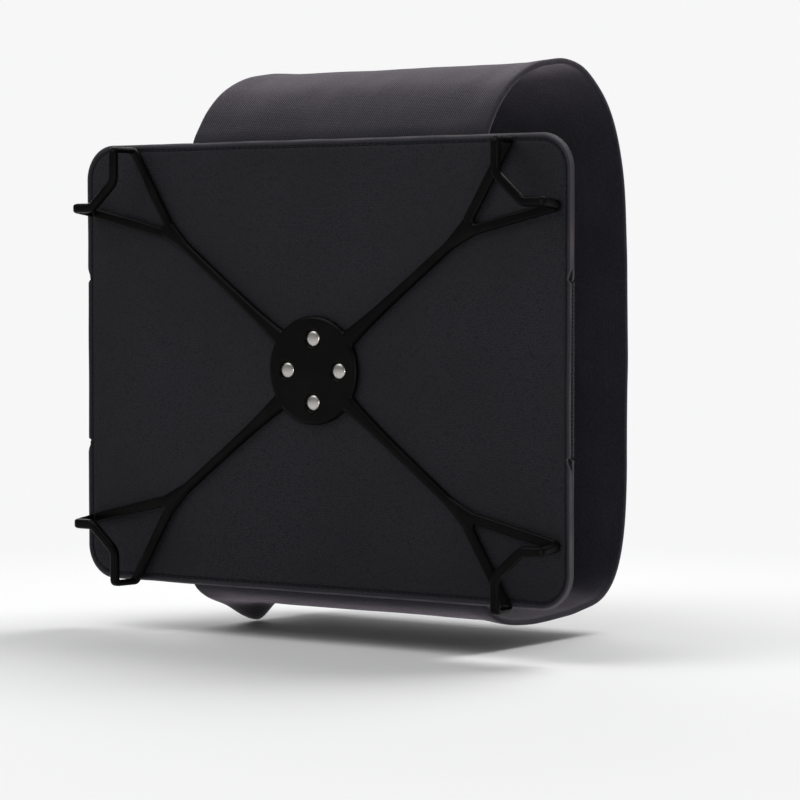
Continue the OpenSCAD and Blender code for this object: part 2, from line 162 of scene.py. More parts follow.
def cover_mesh(side):
    """The closed mesh of one sheet with its turned edge. side is 1 in front and -1 behind."""
    bm = bmesh.new()
    rim = bm.verts.layers.float.new("rim")
    inset_of = bm.verts.layers.float.new("inset")
    bmesh.ops.create_circle(bm, cap_ends=False, segments=CORNER_STEPS, radius=PANEL_R)
    for turn, axis in ((pi / CORNER_STEPS, "Z"), (pi / 2, "X")):
        bmesh.ops.rotate(
            bm, verts=bm.verts, cent=(0, 0, 0), matrix=Matrix.Rotation(turn, 3, axis),
        )
    for v in bm.verts:
        v.co.x += SIDE_A / 2 if v.co.x > 0 else -SIDE_A / 2
        v.co.z += SIDE_B / 2 if v.co.z > 0 else -SIDE_B / 2
    for e in [e for e in bm.edges if e.calc_length() > SIDE_B / 2]:
        bmesh.ops.subdivide_edges(bm, edges=[e], cuts=int(e.calc_length() / EDGE_STEP))
    ring, last = list(bm.edges), 0.0
    for step, (inset, depth) in enumerate(SHEET_SECTION):
        if step:
            grown = bmesh.ops.extrude_edge_only(bm, edges=ring)["geom"]
            ring = [e for e in grown if isinstance(e, bmesh.types.BMEdge) and e.is_boundary]
        for v in {v for e in ring for v in e.verts}:
            out = outward(v.co.x, v.co.z) * (last - inset)
            v.co = Vector((v.co.x + out.x, depth, v.co.z + out.y))
            v[inset_of] = inset
            # Mask of the rolled rim. The coating uses it to paint the rim paler, partly as wear and
            # partly as a painted highlight.
            v[rim] = smooth_step(2.5, 0.1, inset) if inset < 2.6 and depth < 1.5 else 0.0
        last = inset
    bmesh.ops.holes_fill(bm, edges=[e for e in bm.edges if e.is_boundary], sides=0)
    for v in bm.verts:
        inset, depth = v[inset_of], v.co.y
        s = edge_distance(v.co.x, v.co.z)
        out = outward(v.co.x, v.co.z)
        beside = abs(v.co.x) > PANEL_W / 2 - 14 and abs(v.co.z) < SIDE_B / 2
        gather = cos(2 * pi * s / PITCH)
        pull = exp(-(((inset - SEAM_IN) / 0.9) ** 2)) * (0.5 + 0.5 * gather)
        puff = exp(-(((inset - 1.3) / 0.6) ** 2)) * (0.5 - 0.5 * gather)
        if depth < 0.7:
            depth += 0.2 * pull - 0.06 * puff
        wave = noise.noise(Vector((v.co.x * 0.045, side * 7.3, v.co.z * 0.045)))
        draw = -0.22 * wave * smooth_step(8, 0, inset)
        if beside:
            past = abs(v.co.z - STRAP_UP) - STRAP_W / 2
            if side > 0:
                hollow = 1.9 * smooth_step(6.8, 0.8, past)
                beyond = smooth_step(-0.4, 0.4, past)
                hollow = hollow * beyond + 0.5 * (1 - beyond)
            else:
                hollow = 2.1 * smooth_step(0.9, 0.3, past)
            draw += max(0.0, hollow - 0.75 * inset)
            room = smooth_step(0.8, 0.2, past) * smooth_step(8.2, 7.4, inset)
            depth = min(depth, RIM_T - 0.62 * room)
        v.co.x -= out.x * draw
        v.co.z -= out.y * draw
        v.co.z += PANEL_UP
        v.co.y = PANEL_Y + depth if side > 0 else BACK_Y - depth
    bmesh.ops.recalc_face_normals(bm, faces=bm.faces)
    if bm.calc_volume(signed=True) < 0:
        bmesh.ops.reverse_faces(bm, faces=bm.faces)
    return bm


class Wire:
    """A socket's value. Operators on it add Math nodes."""

    def __init__(self, finish, socket):
        self.finish, self.socket = finish, socket

    def math(self, operation, *others):
        values = dict(enumerate((self, *others)))
        return self.finish.node("ShaderNodeMath", {"operation": operation}, values)

    def __add__(self, other):
        return self.math("ADD", other)

    __radd__ = __add__

    def __mul__(self, other):
        return self.math("MULTIPLY", other)

    __rmul__ = __mul__

    def __sub__(self, other):
        return self.math("SUBTRACT", other)

    def __rsub__(self, other):
        return self * -1 + other

    def __pow__(self, other):
        return self.math("POWER", other)

    def wave(self):
        """A smooth wave from 0 to 1 and back for each whole step of the value."""
        return (self * 2 * pi).math("COSINE") * -0.5 + 0.5

    def step(self, low, high):
        """0 below low, 1 above high."""
        spans = {"Value": self, "From Min": low, "From Max": high}
        return self.finish.node("ShaderNodeMapRange", {"interpolation_type": "SMOOTHSTEP"}, spans)


class Finish:
    """A material. Every node of it comes from node()."""

    def __init__(self, name, **constants):
        self.material = bpy.data.materials.new(name)
        self.material.use_nodes = True
        self.tree = self.material.node_tree
        self.shader = self.tree.nodes["Principled BSDF"]
        self.normal = None
        for socket, value in constants.items():
            self.shader.inputs[socket.replace("_", " ")].default_value = value

    def node(self, kind, settings, sockets, output=0):
        made = self.tree.nodes.new(kind)
        for key, value in settings.items():
            setattr(made, key, value)
        for key, value in sockets.items():
            self.plug(made.inputs[key], value)
        return Wire(self, made.outputs[output])

    def plug(self, socket, value):
        if isinstance(value, Wire):
            self.tree.links.new(value.socket, socket)
        else:
            socket.default_value = value

    def place(self):
        return self.node("ShaderNodeTexCoord", {}, {}, "Object")

    def run(self, uv_map):
        """The distances along and across a piece, from its UV map."""
        laid = self.node("ShaderNodeUVMap", {"uv_map": uv_map}, {})
        return [self.node("ShaderNodeSeparateXYZ", {}, {"Vector": laid}, i) for i in (0, 1)]

    def noise(self, scale, detail, roughness=0.5):
        sockets = {"Vector": self.place(), "Scale": scale, "Detail": detail}
        return self.node("ShaderNodeTexNoise", {}, {**sockets, "Roughness": roughness}, "Fac")

    def mix(self, factor, first, second):
        settings = {"data_type": "RGBA", "clamp_factor": True}
        return self.node("ShaderNodeMix", settings, {0: factor, 6: first, 7: second}, 2)

    def bump(self, height, depth, strength=1.0):
        """Bump of a height from 0 to 1, as deep as that many metres."""
        sockets = {"Strength": strength, "Distance": depth, "Height": height}
        if self.normal:
            sockets["Normal"] = self.normal
        self.normal = self.node("ShaderNodeBump", {}, sockets)
        self.plug(self.shader.inputs["Normal"], self.normal)

    def feed(self, **values):
        for socket, value in values.items():
            self.plug(self.shader.inputs[socket.replace("_", " ")], value)


coating = Finish("coated_cloth", Specular_IOR_Level=0.18)
spread = coating.node("ShaderNodeTexNoise", {}, {
    "Vector": coating.place(), "Scale": 420.0, "Detail": 1.0,
}, "Color")
strayed = coating.node("ShaderNodeVectorMath", {"operation": "MULTIPLY_ADD"}, {
    0: spread, 1: (0.0006, 0.0006, 0.0006), 2: coating.place(),
})
grain = coating.node("ShaderNodeTexVoronoi", {"feature": "DISTANCE_TO_EDGE"}, {
    "Vector": strayed, "Scale": 900.0, "Randomness": 0.8,
}, "Distance")
pebble = grain.step(0.0, 0.18)
dome = grain.step(0.0, 0.55)
pores = coating.noise(2600.0, 2.0)
# The rim is painted paler: partly wear, and partly a painted highlight in place of light falling
# from above onto the rolled edge.
rim_wear_and_highlight = coating.node("ShaderNodeAttribute", {"attribute_name": "rim"}, {}, "Fac")
# A broken pale line along the very edge: partly a rubbed raw edge, and partly a painted highlight
# line where the sheet edges catch the light.
rubbed_and_highlit_edge = rim_wear_and_highlight.step(0.72, 0.98) * (0.4 + coating.noise(60.0, 3.0).step(0.3, 0.65) * 0.6)
patches = coating.noise(14.0, 3.0)
plain = coating.mix(
    patches.step(0.3, 0.7), (0.0084, 0.0077, 0.0108, 1), (0.0134, 0.0124, 0.0166, 1),
)
grained = coating.mix(pebble, (0.006, 0.0055, 0.0076, 1), plain)
# The grain with the painted-highlight-and-wear rim colour mixed in.
grain_with_lit_rim = coating.mix(rim_wear_and_highlight, grained, (0.031, 0.0285, 0.036, 1))
coating.feed(
    Base_Color=coating.mix(rubbed_and_highlit_edge * 0.8, grain_with_lit_rim, (0.1, 0.092, 0.095, 1)),
    Roughness=0.5 + (1 - pebble) * 0.14 + pores * 0.1 - rim_wear_and_highlight * 0.05 + patches * 0.05,
)
coating.bump(coating.noise(22.0, 2.0), 0.0016, 0.35)
coating.bump((dome * 0.9 + pores * 0.2) * (1 - rim_wear_and_highlight * 0.7), 0.00016)

front_cover = finished(cover_mesh(1), "front_cover", coating, "coated_cloth")
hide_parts("front_panel")
back_cover = finished(cover_mesh(-1), "back_cover", coating, "coated_cloth")
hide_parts("back_panel")

# Stiffening board
#
# A flat sheet of grey fibre board, cut with rounded corners. It lies loose between the two
# sheets, inside their turned edges, and the rivets are closed in its back.

fibres = Finish("fibre_board", Specular_IOR_Level=0.2)
flecks = fibres.noise(900.0, 4.0)
fibres.feed(
    Base_Color=fibres.mix(flecks.step(0.35, 0.7), (0.1, 0.095, 0.09, 1), (0.2, 0.19, 0.175, 1)),
    Roughness=0.8 + flecks * 0.15,
)
fibres.bump(flecks, 0.00008)


def dress(node, finish):
    """Gives a CAD node its material."""
    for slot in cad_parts[node].material_slots:
        slot.material = finish.material


dress("stiffener_board", fibres)

# Edge stitches
#
# A lockstitch seam of black twisted polyester thread, sewn through both sheets and the ends
# of the hand strap. Each stitch shows on both faces as a short bead that dips at its ends.

STITCH_W, STITCH_H = 0.5, 0.42

thread = Finish("thread", Specular_IOR_Level=0.15, Sheen_Weight=0.03)
along, around = thread.run("seam")
twist = (along * 5 + around * 2).wave()
thread.feed(
    Base_Color=thread.mix(twist, (0.004, 0.0037, 0.0046, 1), (0.013, 0.012, 0.0145, 1)),
    Roughness=0.62 + twist * 0.12,
)
thread.bump(twist, 0.00006)

bm = bmesh.new()
seam = bm.loops.layers.uv.new("seam")
bmesh.ops.create_uvsphere(
    bm, u_segments=8, v_segments=6, radius=0.5, matrix=Matrix.Rotation(pi / 2, 4, "Y"),
)
for face in bm.faces:
    for loop in face.loops:
        p = loop.vert.co
        loop[seam].uv = (p.x + 0.5, atan2(p.y, p.z) / (2 * pi) + 0.5)
bead = bpy.data.meshes.new("bead")
bm.to_mesh(bead)
bm.free()


def add_stitch(bm, place, heading, up, length, width, height):
    """One bead of thread along heading, its middle at place."""
    turned = Matrix((heading * length, up.cross(heading) * width, up * height)).transposed()
    one = bead.copy()
    one.transform(Matrix.Translation(place) @ turned.to_4x4())
    bm.from_mesh(one)
    bpy.data.meshes.remove(one)


chance = random.Random(5)
bm = bmesh.new()
for side in (1, -1):
    for i in range(STITCHES):
        spot, way = edge_place((i + 0.5) * PITCH, SEAM_IN)
        beside = abs(spot.x) > SIDE_A / 2 + 8 and abs(spot.y - STRAP_UP) < STRAP_W / 2 + 1
        if side < 0 and beside:
            continue
        y = PANEL_Y + 0.2 if side > 0 else BACK_Y - 0.2
        heading = Vector((way.x, 0, way.y))
        heading.rotate(Matrix.Rotation(radians(chance.uniform(3, 7)), 3, "Y"))
        middle = Vector((spot.x, y + side * chance.uniform(-0.03, 0.03), spot.y + PANEL_UP))
        up = Vector((0, -side, 0))
        add_stitch(bm, middle, heading, up, PITCH * 0.93, STITCH_W, STITCH_H)
edge_stitches = finished(bm, "edge_stitches", thread, "thread")
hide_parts("edge_thread")

# Silicone net
#
# One soft black silicone moulding: a round hub, four flat arms and four corner rings. It is
# modelled in its stretched form, in which each ring reaches forward from the panel's face
# and slants across a corner. The hub is riveted to the panel.

# The space that the rings close round, from the hub's face forward
POCKET = Vector((241.0, 9.4, 186.0))
STRAND_W, STRAND_T = 4.5, 2.6
OVER = 0.2 + STRAND_T / 2
REST_Y = STRAND_T / 2
UPRIGHT_OUT, LEVEL_OUT, UPRIGHT_IN, LEVEL_IN, LEG_LEAN = 20.7, 23.7, 12.6, 8.0, 1.5
FORK_X, FORK_Z = 45.0, 36.0
BEND_R = 1.3 * STRAND_W
ROOT_W, HUB_D, RIVET_OUT = 9.0, 46.0, 13.5
QUARTERS = [a * pi / 2 for a in range(4)]
RIVETS_AT = [Vector((RIVET_OUT * cos(a), 0, RIVET_OUT * sin(a))) for a in QUARTERS]
# How fine the net's closed skin is, in metres
SKIN = 0.00045


def bend(a, p, b, r, steps=9):
    """Points along a bend of radius r that rounds the corner p between a and b."""
    u, v = (a - p).normalized(), (b - p).normalized()
    turn = pi - acos(max(-1.0, min(1.0, u.dot(v))))
    centre = p + (u + v).normalized() * r / cos(turn / 2)
    first = (p + u * r * tan(turn / 2) - centre) / r
    last = (p + v * r * tan(turn / 2) - centre) / r
    shares = [(sin((1 - i / steps) * turn), sin(i / steps * turn)) for i in range(steps + 1)]
    return [centre + (first * f + last * g) * (r / sin(turn)) for f, g in shares]


def bent_path(points, radii):
    """A path through the points, with a bend at each inner one."""
    path = [points[0]]
    for i in range(1, len(points) - 1):
        path += bend(points[i - 1], points[i], points[i + 1], radii[i - 1])
    return path + [points[-1]]


def headings(path):
    last = len(path) - 1
    return [(path[min(i + 1, last)] - path[max(i - 1, 0)]).normalized() for i in range(last + 1)]


def swept(bm, rows):
    """A closed solid through rows of as many points each."""
    corner = bm.verts.layers.int.get("corner") or bm.verts.layers.int.new("corner")
    count = len(rows[0])
    made = bmesh.ops.create_circle(bm, cap_ends=True, segments=count, radius=1.0)["verts"]
    for k, v in enumerate(made):
        v[corner] = k
        v.co = rows[0][k]
    ring = [e for v in made for e in v.link_edges]
    for row in rows[1:]:
        grown = bmesh.ops.extrude_edge_only(bm, edges=list(set(ring)))["geom"]
        ring = [e for e in grown if isinstance(e, bmesh.types.BMEdge) and e.is_boundary]
        for v in grown:
            if isinstance(v, bmesh.types.BMVert):
                v.co = row[v[corner]]
    bmesh.ops.contextual_create(bm, geom=ring)


# Half of a strand's section from its outer face to its seat: a flat face and slanting sides
HALF_SECTION = [(0.0, 1.0), (0.56, 1.0), (0.72, 0.88), (1.0, -0.2), (0.98, -0.72), (0.8, -1.0)]
SECTION = HALF_SECTION + [(-a, b) for a, b in HALF_SECTION[:0:-1]]


def strand_row(p, way, up, half_w, half_t):
    side = up.cross(way)
    return [p + side * (a * half_w) + up * (b * half_t) for a, b in SECTION]


def add_strand(bm, path):
    half = POCKET / 2
    rows = []
    for p, way in zip(path, headings(path)):
        near = Vector((
            max(-half.x, min(half.x, p.x)),
            max(-POCKET.y, min(0.0, p.y)),
            max(-half.z, min(half.z, p.z)),
        ))
        up = (p - near).normalized()
        up = (up - way * up.dot(way)).normalized()
        rows.append(strand_row(p, way, up, STRAND_W / 2, STRAND_T / 2))
    swept(bm, rows)


def add_corner(bm, sx, sz):
    """The arm, fork and ring of one corner."""
    half = POCKET / 2
    fork = Vector((sx * (half.x - FORK_X), REST_Y, sz * (half.z - FORK_Z)))
    ring_top = Vector((sx * (half.x - UPRIGHT_OUT - LEG_LEAN), REST_Y, sz * (half.z + OVER)))
    ring_side = Vector((sx * (half.x + OVER), REST_Y, sz * (half.z - LEVEL_OUT - LEG_LEAN)))
    over_y = -(POCKET.y + OVER)
    upright, level = sx * (half.x - UPRIGHT_OUT), sz * (half.z - LEVEL_OUT)
    near_top = fork + (ring_top - fork).normalized() * 6
    near_side = fork + (ring_side - fork).normalized() * 6
    add_strand(bm, bent_path(
        [
            near_top, ring_top,
            Vector((upright, over_y, sz * (half.z + OVER))),
            Vector((upright, over_y, sz * (half.z - UPRIGHT_IN))),
            Vector((sx * (half.x - LEVEL_IN), over_y, level)),
            Vector((sx * (half.x + OVER), over_y, level)),
            ring_side, near_side,
        ],
        [OVER, OVER, BEND_R, BEND_R, OVER, OVER],
    ))
    hub = Vector((0, REST_Y, 0))
    reach = (fork - hub).length
    out = (fork - hub) / reach
    rows, steps = [], 40
    for i in range(steps + 1):
        f = i / steps
        s = HUB_D / 2 - ROOT_W / 2 + (reach - HUB_D / 2 + ROOT_W / 2) * f
        half_w = STRAND_W / 2 + (ROOT_W - STRAND_W) / 2 * (1 - f) ** 5
        rows.append(strand_row(hub + out * s, out, Vector((0, -1, 0)), half_w, STRAND_T / 2))
    swept(bm, rows)
    knots = [near_top, near_side, fork - out * 8]
    made = []
    for knot in knots:
        squashed = Matrix.Translation(knot) @ Matrix.Diagonal((1, STRAND_T / STRAND_W, 1, 1))
        made += bmesh.ops.create_uvsphere(
            bm, u_segments=20, v_segments=12, radius=STRAND_W / 2, matrix=squashed,
        )["verts"]
    bmesh.ops.convex_hull(bm, input=made)


def lathe(bm, profile, steps, at=Vector((0, 0, 0))):
    """Spins a profile of (radius, y) round the Y axis through the place at."""
    points = [bm.verts.new(at + Vector((r, y, 0))) for r, y in profile]
    lines = [bm.edges.new(pair) for pair in zip(points, points[1:])]
    bmesh.ops.spin(
        bm, geom=points + lines, cent=at, axis=(0, 1, 0), angle=2 * pi, steps=steps, use_merge=True,
    )
    bmesh.ops.remove_doubles(bm, verts=bm.verts, dist=0.0001)


rubber = Finish("silicone", Specular_IOR_Level=0.06)
bloom = rubber.noise(70.0, 4.0)
film = rubber.noise(1500.0, 3.0)
rubber.feed(
    Base_Color=rubber.mix(
        bloom.step(0.4, 0.75), (0.0015, 0.0015, 0.0014, 1), (0.003, 0.003, 0.0027, 1),
    ),
    Roughness=0.26 + bloom * 0.14 + film * 0.06,
)
rubber.bump(film, 0.00002, 0.6)

bm = bmesh.new()
lathe(bm, [
    (0, 0), (HUB_D / 2 - 1.2, 0), (HUB_D / 2 - 0.5, 0.25), (HUB_D / 2, 0.9),
    (HUB_D / 2, STRAND_T), (0, STRAND_T),
], 96)
bmesh.ops.recalc_face_normals(bm, faces=bm.faces)
hub_plate = finished(bm, "hub_plate", rubber, "silicone")
bm = bmesh.new()
for at in RIVETS_AT:
    lathe(bm, [(0, -1), (3.75, -1), (3.75, 1.4), (1.8, 1.4), (1.8, 4), (0, 4)], 40, at)
bmesh.ops.recalc_face_normals(bm, faces=bm.faces)
seats = finished(bm, "rivet_seats", rubber, "silicone")
cut = hub_plate.modifiers.new("seats", "BOOLEAN")
cut.operation, cut.solver, cut.object = "DIFFERENCE", "EXACT", seats
settled(hub_plate)
bm = bmesh.new()
bm.from_mesh(hub_plate.data)
bmesh.ops.scale(bm, vec=Vector((1000, 1000, 1000)), verts=bm.verts)
for sx in (-1, 1):
    for sz in (-1, 1):
        add_corner(bm, sx, sz)
bmesh.ops.recalc_face_normals(bm, faces=bm.faces)
corner_net = finished(bm, "corner_net", rubber, "silicone")
for used in (hub_plate, seats):
    bpy.data.objects.remove(used)
one_skin = corner_net.modifiers.new("one_skin", "REMESH")
one_skin.mode, one_skin.voxel_size, one_skin.use_smooth_shade = "VOXEL", SKIN, True
settled(corner_net)
bm = bmesh.new()
bm.from_mesh(corner_net.data)
for _ in range(3):
    bmesh.ops.smooth_vert(
        bm, verts=bm.verts, factor=0.5, use_axis_x=True, use_axis_y=True, use_axis_z=True,
    )
bm.to_mesh(corner_net.data)
bm.free()
corner_net.data.shade_smooth()
corner_net.data.materials.clear()
corner_net.data.materials.append(rubber.material)
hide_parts("silicone_net")

# Hub rivets
#
# Four semi-tubular rivets of nickel plated steel. Each low domed head sits in a recess of the
# hub, and its shank goes through the front sheet and is rolled over in the board.

nickel = Finish("rivet_metal", Metallic=1.0)
rubs = nickel.noise(380.0, 4.0)
nickel.feed(
    Base_Color=nickel.mix(rubs, (0.42, 0.4, 0.38, 1), (0.58, 0.56, 0.53, 1)),
    Roughness=0.24 + rubs * 0.16,
)
nickel.bump(nickel.noise(4000.0, 2.0), 0.000008)

bm = bmesh.new()
for at in RIVETS_AT:
    lathe(bm, [
        (0, 0.42), (1.2, 0.45), (2.2, 0.56), (2.9, 0.74), (3.3, 0.98), (3.42, 1.15),
        (3.38, 1.32), (3.2, 1.4), (1.6, 1.4), (1.6, 4.4), (2.2, 4.42), (2.8, 4.5),
        (3.0, 4.66), (2.9, 4.84), (2.5, 4.9), (1.7, 4.86), (1.3, 4.6), (1.2, 4.2), (0, 4.2),
    ], 40, at)
bmesh.ops.recalc_face_normals(bm, faces=bm.faces)
rivets = finished(bm, "domed_rivets", nickel, "rivet_metal")
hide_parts("hub_rivets")

# Stretch band
#
# One strip of thick knitted stretch cloth, 155 mm wide, closed to a loop. Its two ends lap
# behind the panel's lower half. It is slack at the lower left, where its edge gathers into
# a lobe.

BAND_W, BAND_T, LOOP_D, CROWN_H, BASE_H = 155.0, 2.6, 121.0, 130.5, 105.0
SOFT_GAP = 0.3
BAND_Y = BACK_Y + SOFT_GAP + BAND_T / 2
LAP_TOP, LAP_FOOT, LAP_LEAN = -44.0, -91.0, 3.2
STRAP_FOOT = PANEL_UP + STRAP_UP - STRAP_W / 2
STRAP_HEAD = STRAP_FOOT + STRAP_W
LAP_START = STRAP_FOOT - 2
LAP_TILT = atan(LAP_LEAN / (LAP_START - LAP_FOOT))
TAPE_T, TAPE_GAP = 1.0, 0.1
LAP_STEP = BAND_T + 2 * TAPE_T + 3 * TAPE_GAP


def outer_ply(z):
    return Vector((BAND_Y + (LAP_START - z) * tan(LAP_TILT), z))


def inner_ply(z):
    return outer_ply(z) + Vector((LAP_STEP / cos(LAP_TILT), 0))


def even_path(points, step):
    """The same line with points an even step apart."""
    lengths = [0.0]
    for a, b in zip(points, points[1:]):
        lengths.append(lengths[-1] + (b - a).length)
    count = round(lengths[-1] / step)
    out, i = [], 0
    for k in range(count + 1):
        s = lengths[-1] * k / count
        while i < len(points) - 2 and lengths[i + 1] < s:
            i += 1
        f = (s - lengths[i]) / (lengths[i + 1] - lengths[i])
        out.append(points[i].lerp(points[i + 1], f))
    return out


def smooth_curve(points, steps=14):
    """Cubic steps through the points."""
    out = []
    last = len(points) - 1
    for i in range(last):
        a, b, c, d = points[max(i - 1, 0)], points[i], points[i + 1], points[min(i + 2, last)]
        for k in range(steps):
            f = k / steps
            slope, curve, twist = c - a, 2 * a - 5 * b + 4 * c - d, 3 * b - a - 3 * c + d
            out.append(b + f / 2 * (slope + f * (curve + f * twist)))
    return out + [points[-1]]


# The route of the band's middle as (y, z), from its inner end under the base, up the back,
# over the crown and down to its outer end. Front, back, top and base are the loop's reach.
front, back = BAND_Y, BAND_Y + LOOP_D - BAND_T
top, base = CROWN_H - BAND_T / 2, BAND_T / 2 - BASE_H
loop_line = [inner_ply(LAP_TOP)] + smooth_curve([inner_ply(LAP_FOOT)] + [Vector(p) for p in (
    (front + 9.5, base + 8.3), (front + 13.5, base + 5.5), (front + 20, base + 2.7),
    (front + 29, base + 0.8), (front + 42, base), (front + 54, base),
    (front + 66, base + 0.3), (back - 38, base + 1.2), (back - 17, base + 6.5),
    (back - 5, base + 23), (back - 1, base + 57), (back, (base + top) / 2 - 10),
    (back - 1, top - 78), (back - 5, top - 42), (back - 15, top - 18), (back - 32, top - 4),
    (front + 71, top), (front + 59, top - 0.8), (front + 46, top - 3.2),
    (front + 31, top - 9.6), (front + 20.5, top - 18), (front + 13.5, top - 26),
    (front + 9.5, top - 32.3), (front + 4.5, top - 52), (front + 0.5, STRAP_HEAD + 4),
)]) + [Vector((front, STRAP_HEAD - 4)), outer_ply(LAP_START), outer_ply(LAP_FOOT)]
band_line = even_path(loop_line, 1.6)
for _ in range(4):
    band_line = [band_line[0]] + [
        (a + b * 2 + c) / 4 for a, b, c in zip(band_line, band_line[1:], band_line[2:])
    ] + [band_line[-1]]
band_length = sum((b - a).length for a, b in zip(band_line, band_line[1:]))


def hump(d, w):
    return exp(-((d / w) ** 2))


def ribbon(line, width, across, place):
    """A sheet along a line. place gives the point for a step of the line and a distance across."""
    bm = bmesh.new()
    steps = len(line) - 1
    bmesh.ops.create_grid(bm, x_segments=steps, y_segments=across, size=1.0)
    run = bm.loops.layers.uv.new("cloth")
    spots = {v: (round((v.co.x + 1) / 2 * steps), v.co.y) for v in bm.verts}
    step = sum((b - a).length for a, b in zip(line, line[1:])) / steps
    for face in bm.faces:
        for loop in face.loops:
            i, c = spots[loop.vert]
            loop[run].uv = (i * step / 1000, c * width / 2000)
    for v, (i, c) in spots.items():
        v.co = place(i, c * width / 2)
    return bm


band_ways = headings(band_line)


def band_place(i, x):
    p, way = band_line[i], band_ways[i]
    out = Vector((way.y, -way.x))
    free = smooth_step(BAND_Y + 6, BAND_Y + 22, p.x)
    slack = 0.0
    if p.y < 0:
        behind = p.x - BAND_Y - 52
        slack = 9.5 * hump(x + BAND_W / 2 - 1, 7) * hump(behind, 17 if behind < 0 else 8)
        pleat = hump(x + BAND_W / 2 - 16, 14) * hump(behind - 4, 16)
        slack += 0.7 * pleat * sin((behind + 0.6 * x) / 2.6)
    ripple = noise.noise(Vector((x * 0.022, p.x * 0.028, p.y * 0.02 + 3.1)))
    fine = noise.noise(Vector((x * 0.07, p.x * 0.06, p.y * 0.06 + 9.7)))
    flare = (1.3 if x > 0 else 0.6) * smooth_step(BAND_W / 2 - 16, BAND_W / 2, abs(x))
    push = free * (0.5 * ripple + 0.2 * fine + flare)
    edge = 0.5 * noise.noise(Vector((p.x * 0.03, p.y * 0.03, 4.0 if x > 0 else 8.0)))
    x += edge * smooth_step(BAND_W / 2 - 12, BAND_W / 2, abs(x)) * (1 if x > 0 else -1)
    return Vector((x, p.x + out.x * push, p.y + out.y * push - slack))


knit = Finish("band_cloth", Specular_IOR_Level=0.2, Sheen_Weight=0.65, Sheen_Roughness=0.35)
knit.shader.inputs["Sheen Tint"].default_value = (0.62, 0.55, 0.62, 1)
along, across = knit.run("cloth")
wale = (across * 900.0).wave()
course = (along * 1150.0 + wale * 0.5).wave()
loops = wale ** 0.7 * (0.45 + course * 0.55)
heather = knit.noise(1300.0, 3.0)
cloudy = knit.noise(38.0, 4.0)
tone = (loops * 0.26 + heather.step(0.3, 0.7) * 0.34 + cloudy * 0.5).step(0.1, 1.0)
knit.feed(
    Base_Color=knit.mix(tone, (0.011, 0.0105, 0.0138, 1), (0.0345, 0.0322, 0.0418, 1)),
    Roughness=0.88 + heather * 0.1,
)
knit.bump(knit.noise(120.0, 2.0), 0.0004, 0.3)
knit.bump(loops + heather * 0.4, 0.00012)


def thickened(bm, name, finish, slot, thickness, soft):
    """Gives a sheet its thickness and soft edges."""
    piece = finished(bm, name, finish, slot)
    wall = piece.modifiers.new("wall", "SOLIDIFY")
    wall.thickness, wall.offset, wall.use_even_offset = thickness / 1000, 0.0, True
    round_off = piece.modifiers.new("soft_edge", "BEVEL")
    round_off.width, round_off.segments, round_off.limit_method = soft / 1000, 3, "ANGLE"
    round_off.angle_limit = radians(60)
    return settled(piece)


stretch_loop = thickened(
    ribbon(band_line, BAND_W, 76, band_place), "stretch_loop", knit, "band_cloth", BAND_T, 0.9,
)
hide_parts("stretch_band")

# Hand strap
#
# Woven elastic, 70 mm wide, with rubber cords along it. Its ends are sewn into the panel's
# side seams and fold round the back sheet's edge. It runs behind the band's front ply and
# presses it against the panel.

STRAP_T = 1.1
SEAM_Y = PANEL_Y + RIM_T
FOLD_R = (BACK_Y + SOFT_GAP + STRAP_T / 2 - SEAM_Y) / 2
FOLD_BEND = 0.7 * FOLD_R
EDGE_X = PANEL_W / 2
FOLD_X = EDGE_X - 0.7 - STRAP_T / 2
BEHIND = BAND_Y + BAND_T / 2 + SOFT_GAP + STRAP_T / 2
half_line = bent_path(
    [Vector(p) for p in (
        (EDGE_X - 7.5, SEAM_Y), (FOLD_X, SEAM_Y), (FOLD_X, SEAM_Y + 2 * FOLD_R),
        (EDGE_X - 7.5, SEAM_Y + 2 * FOLD_R), (BAND_W / 2 + 3, BEHIND), (0, BEHIND),
    )],
    [FOLD_BEND, FOLD_BEND, 12, 12],
)
strap_line = even_path(half_line + [Vector((-p.x, p.y)) for p in half_line[-2::-1]], 0.7)
strap_length = sum((b - a).length for a, b in zip(strap_line, strap_line[1:]))
strap_ways = headings(strap_line)


def strap_place(i, z):
    p, way = strap_line[i], strap_ways[i]
    out = Vector((way.y, -way.x))
    loose = smooth_step(EDGE_X - 4, EDGE_X - 16, abs(p.x))
    narrowed = 1 - 0.012 * loose * (1 - (p.x / EDGE_X) ** 2)
    push = 0.03 * loose * sin(z * 2 * pi / 4.5)
    return Vector((p.x + out.x * push, p.y + out.y * push, z * narrowed + PANEL_UP + STRAP_UP))


elastic = Finish("elastic", Specular_IOR_Level=0.12, Sheen_Weight=0.05)
along, across = elastic.run("cloth")
cords = (across * 640.0).wave()
picks = (along * 900.0 + (across * 320.0).wave() * 0.5).wave()
weave = cords * 0.65 + picks * 0.35
elastic.feed(
    Base_Color=elastic.mix(weave, (0.0052, 0.005, 0.0058, 1), (0.024, 0.0228, 0.026, 1)),
    Roughness=0.7 + picks * 0.15,
)
elastic.bump(weave, 0.00022)

hand_elastic = thickened(
    ribbon(strap_line, STRAP_W, 70, strap_place), "hand_elastic", elastic, "elastic", STRAP_T, 0.4,
)
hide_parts("hand_strap")

# Hook and loop tapes
#
# The band's closure: a tape of moulded nylon hooks sewn to the outer end, and a tape of
# brushed loops sewn to the inner end. They grip each other inside the lap.

